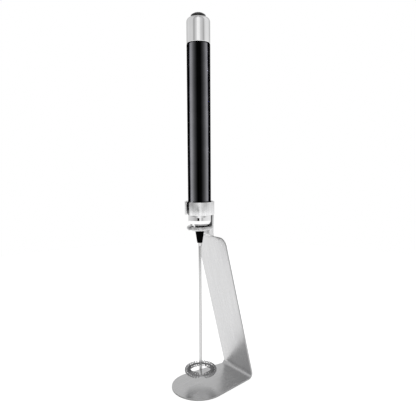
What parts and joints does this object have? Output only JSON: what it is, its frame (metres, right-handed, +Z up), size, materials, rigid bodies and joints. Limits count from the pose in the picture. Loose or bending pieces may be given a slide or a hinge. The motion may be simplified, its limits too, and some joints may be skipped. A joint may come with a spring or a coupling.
{
  "type": "milk frother",
  "caption": "Battery milk frother: slim round barrel, push button in its cap, long shaft with a ring whisk of coiled wire, hanging in a bent steel stand.",
  "frame": {"origin": "on the table under the frother's axis, at the stand foot's lower face", "axes": "+Z up along the frother's axis, -Y towards the stand's rounded front, +Y towards its leg, +X to the right seen from the front"},
  "size_m": [0.0398, 0.0583, 0.2618],
  "materials": {
    "stand_steel": "satin brushed stainless sheet",
    "barrel_black": "gloss black lacquered tube",
    "polished_chrome": "polished chrome plate",
    "black_plastic": "smooth black plastic",
    "button_black": "gloss black domed button",
    "inner_plastic": "matt black moulding",
    "sleeve_plastic": "matt white moulding",
    "shaft_steel": "drawn stainless rod",
    "whisk_wire": "bright stainless wire",
    "plain_steel": "zinc plated steel",
    "spring_steel": "bright spring wire",
    "bronze": "sintered bronze",
    "brass": "plain brass",
    "copper": "copper",
    "laminations": "stacked steel sheet",
    "magnet_ferrite": "dull ferrite",
    "cell_jacket": "plain printed jacket",
    "seal_rubber": "silicone rubber"
  },
  "bodies": {
    "stand": {"stand_plate": "stand_steel", "guide_ring": "stand_steel", "seat_ring": "stand_steel"},
    "frother": {"barrel": "barrel_black", "nose_cap": "polished_chrome", "nose_cone": "black_plastic", "shaft_bush": "shaft_steel", "motor_mount": "inner_plastic", "motor_can": "plain_steel", "motor_front_bush": "bronze", "motor_rear_bush": "bronze", "motor_magnets": "magnet_ferrite", "motor_endcap": "sleeve_plastic", "motor_brushes": "brass", "motor_terminals": "brass", "contact_plate": "brass", "conductor_strip": "brass", "battery_sleeve": "sleeve_plastic", "lower_cell": "cell_jacket", "upper_cell": "cell_jacket"},
    "cap": {"top_cap": "polished_chrome", "switch_housing": "inner_plastic", "cap_seal": "seal_rubber", "cap_contact_ring": "brass", "fixed_contact": "brass", "spring_plate": "spring_steel", "battery_spring": "spring_steel", "button_spring": "spring_steel"},
    "button": {"power_button": "button_black", "moving_contact": "brass"},
    "spindle": {"motor_shaft": "plain_steel", "armature": "laminations", "armature_windings": "copper", "commutator": "copper", "shaft_coupler": "brass", "whisk_shaft": "shaft_steel", "whisk_hoop": "whisk_wire", "whisk_coil": "whisk_wire"}
  },
  "joints": [
    {"name": "frother_lift", "type": "slide", "parent": "stand", "child": "frother", "axis": [0, 0, 1], "range_m": [0, 0.075]},
    {"name": "cap_pull", "type": "slide", "parent": "frother", "child": "cap", "axis": [0, 0, 1], "range_m": [0, 0.02]},
    {"name": "button_press", "type": "slide", "parent": "cap", "child": "button", "axis": [0, 0, -1], "range_m": [0, 0.0015], "stiffness_N_per_m": 900, "springref_m": -0.001, "deforming": ["button_spring"]},
    {"name": "whisk_spin", "type": "hinge", "parent": "frother", "child": "spindle", "pos_m": [0, 0, 0], "axis": [0, 0, 1], "continuous": true}
  ]
}
